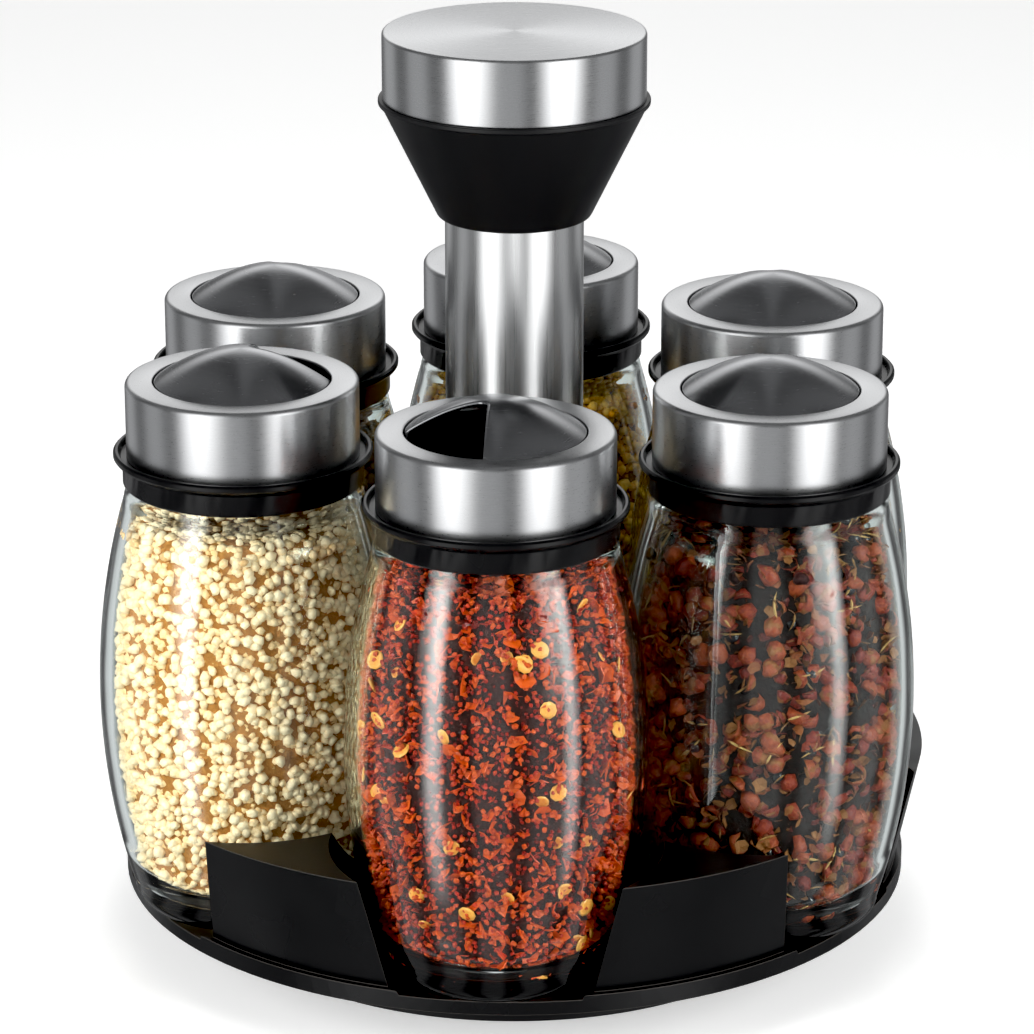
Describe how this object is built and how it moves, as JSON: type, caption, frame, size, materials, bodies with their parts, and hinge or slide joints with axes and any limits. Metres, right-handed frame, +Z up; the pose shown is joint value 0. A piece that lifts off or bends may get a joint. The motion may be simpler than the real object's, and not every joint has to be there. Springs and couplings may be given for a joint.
{
  "type": "spice carousel",
  "caption": "Rotating spice rack: glass shaker jars with steel lids and turning pour dials stand in a black tray round a steel column with a carrying knob.",
  "frame": {"origin": "centre of the foot's underside, on the surface that the carousel stands on", "axes": "+Z up along the spindle and column, -Y towards jar 1"},
  "size_m": [0.1614, 0.171, 0.1793],
  "materials": {
    "foot_plastic": "moulded ABS, fine matte",
    "foot_rubber": "moulded rubber",
    "bush_plastic": "acetal, smooth",
    "ball_steel": "polished steel",
    "cage_nylon": "natural nylon",
    "tray_plastic": "moulded ABS, satin",
    "tray_plate_plastic": "moulded ABS, matte",
    "fastener_steel": "zinc-plated steel",
    "column_steel": "stainless tube, fine polish",
    "knob_plastic": "moulded ABS, satin",
    "insert_brass": "turned brass",
    "knob_cap_steel": "stainless, circular brushed",
    "jar_glass": "clear pressed glass, faint green",
    "chilli_flakes": "crushed dried chilli with seeds",
    "sichuan_pepper": "dried pepper husks with stalks",
    "cumin_brown": "dry brown seeds",
    "golden_granules": "golden granules",
    "brown_granules": "light brown granules",
    "cream_granules": "cream granules",
    "collar_plastic": "moulded PP, satin",
    "seal_foam": "foam liner",
    "lid_steel": "stainless sheet, brushed round the band",
    "dial_steel": "stainless sheet, circular brushed"
  },
  "bodies": {
    "foot": {"foot_plate": "foot_plastic", "rubber_feet": "foot_rubber", "pivot_bush": "bush_plastic"},
    "ball_ring": {"bearing_balls": "ball_steel", "ball_cage": "cage_nylon"},
    "carousel": {"carousel_tray": "tray_plastic", "tray_base_plate": "tray_plate_plastic", "plate_screws": "fastener_steel", "column_tube": "column_steel", "tie_rod": "fastener_steel", "hub_nut": "fastener_steel", "hub_washer": "fastener_steel", "lock_nut": "fastener_steel", "lock_washer": "fastener_steel", "knob_cone": "knob_plastic", "knob_insert": "insert_brass", "knob_cap": "knob_cap_steel"},
    "jar_1": {"glass_jar_1": "jar_glass", "spice_fill_1": "chilli_flakes"},
    "lid_1": {"lid_collar_1": "collar_plastic", "seal_ring_1": "seal_foam", "steel_lid_1": "lid_steel"},
    "dial_1": {"pour_dial_1": "dial_steel"},
    "jar_2": {"glass_jar_2": "jar_glass", "spice_fill_2": "sichuan_pepper"},
    "lid_2": {"lid_collar_2": "collar_plastic", "seal_ring_2": "seal_foam", "steel_lid_2": "lid_steel"},
    "dial_2": {"pour_dial_2": "dial_steel"},
    "jar_3": {"glass_jar_3": "jar_glass", "spice_fill_3": "cumin_brown"},
    "lid_3": {"lid_collar_3": "collar_plastic", "seal_ring_3": "seal_foam", "steel_lid_3": "lid_steel"},
    "dial_3": {"pour_dial_3": "dial_steel"},
    "jar_4": {"glass_jar_4": "jar_glass", "spice_fill_4": "golden_granules"},
    "lid_4": {"lid_collar_4": "collar_plastic", "seal_ring_4": "seal_foam", "steel_lid_4": "lid_steel"},
    "dial_4": {"pour_dial_4": "dial_steel"},
    "jar_5": {"glass_jar_5": "jar_glass", "spice_fill_5": "brown_granules"},
    "lid_5": {"lid_collar_5": "collar_plastic", "seal_ring_5": "seal_foam", "steel_lid_5": "lid_steel"},
    "dial_5": {"pour_dial_5": "dial_steel"},
    "jar_6": {"glass_jar_6": "jar_glass", "spice_fill_6": "cream_granules"},
    "lid_6": {"lid_collar_6": "collar_plastic", "seal_ring_6": "seal_foam", "steel_lid_6": "lid_steel"},
    "dial_6": {"pour_dial_6": "dial_steel"}
  },
  "joints": [
    {"name": "carousel_spin", "type": "hinge", "parent": "foot", "child": "carousel", "pos_m": [0, 0, 0.01], "axis": [0, 0, 1], "continuous": true},
    {"name": "ball_ring_roll", "type": "hinge", "parent": "foot", "child": "ball_ring", "pos_m": [0, 0, 0.01], "axis": [0, 0, 1], "continuous": true},
    {"name": "jar_lift_1", "type": "slide", "parent": "carousel", "child": "jar_1", "axis": [0, 0, 1], "range_m": [0, 0.09]},
    {"name": "jar_lift_2", "type": "slide", "parent": "carousel", "child": "jar_2", "axis": [0, 0, 1], "range_m": [0, 0.09]},
    {"name": "jar_lift_3", "type": "slide", "parent": "carousel", "child": "jar_3", "axis": [0, 0, 1], "range_m": [0, 0.09]},
    {"name": "jar_lift_4", "type": "slide", "parent": "carousel", "child": "jar_4", "axis": [0, 0, 1], "range_m": [0, 0.09]},
    {"name": "jar_lift_5", "type": "slide", "parent": "carousel", "child": "jar_5", "axis": [0, 0, 1], "range_m": [0, 0.09]},
    {"name": "jar_lift_6", "type": "slide", "parent": "carousel", "child": "jar_6", "axis": [0, 0, 1], "range_m": [0, 0.09]},
    {"name": "lid_lift_1", "type": "slide", "parent": "jar_1", "child": "lid_1", "axis": [0, 0, 1], "range_m": [0, 0.035]},
    {"name": "lid_lift_2", "type": "slide", "parent": "jar_2", "child": "lid_2", "axis": [0, 0, 1], "range_m": [0, 0.035]},
    {"name": "lid_lift_3", "type": "slide", "parent": "jar_3", "child": "lid_3", "axis": [0, 0, 1], "range_m": [0, 0.035]},
    {"name": "lid_lift_4", "type": "slide", "parent": "jar_4", "child": "lid_4", "axis": [0, 0, 1], "range_m": [0, 0.035]},
    {"name": "lid_lift_5", "type": "slide", "parent": "jar_5", "child": "lid_5", "axis": [0, 0, 1], "range_m": [0, 0.035]},
    {"name": "lid_lift_6", "type": "slide", "parent": "jar_6", "child": "lid_6", "axis": [0, 0, 1], "range_m": [0, 0.035]},
    {"name": "dial_spin_1", "type": "hinge", "parent": "lid_1", "child": "dial_1", "pos_m": [0, -0.0572, 0.11855], "axis": [0, 0, 1], "continuous": true},
    {"name": "dial_spin_2", "type": "hinge", "parent": "lid_2", "child": "dial_2", "pos_m": [0.04954, -0.0286, 0.11855], "axis": [0, 0, 1], "continuous": true},
    {"name": "dial_spin_3", "type": "hinge", "parent": "lid_3", "child": "dial_3", "pos_m": [0.04954, 0.0286, 0.11855], "axis": [0, 0, 1], "continuous": true},
    {"name": "dial_spin_4", "type": "hinge", "parent": "lid_4", "child": "dial_4", "pos_m": [0, 0.0572, 0.11855], "axis": [0, 0, 1], "continuous": true},
    {"name": "dial_spin_5", "type": "hinge", "parent": "lid_5", "child": "dial_5", "pos_m": [-0.04954, 0.0286, 0.11855], "axis": [0, 0, 1], "continuous": true},
    {"name": "dial_spin_6", "type": "hinge", "parent": "lid_6", "child": "dial_6", "pos_m": [-0.04954, -0.0286, 0.11855], "axis": [0, 0, 1], "continuous": true}
  ],
  "couplings": [
    {"joint": "ball_ring_roll", "follows": "carousel_spin", "ratio": 0.5}
  ]
}
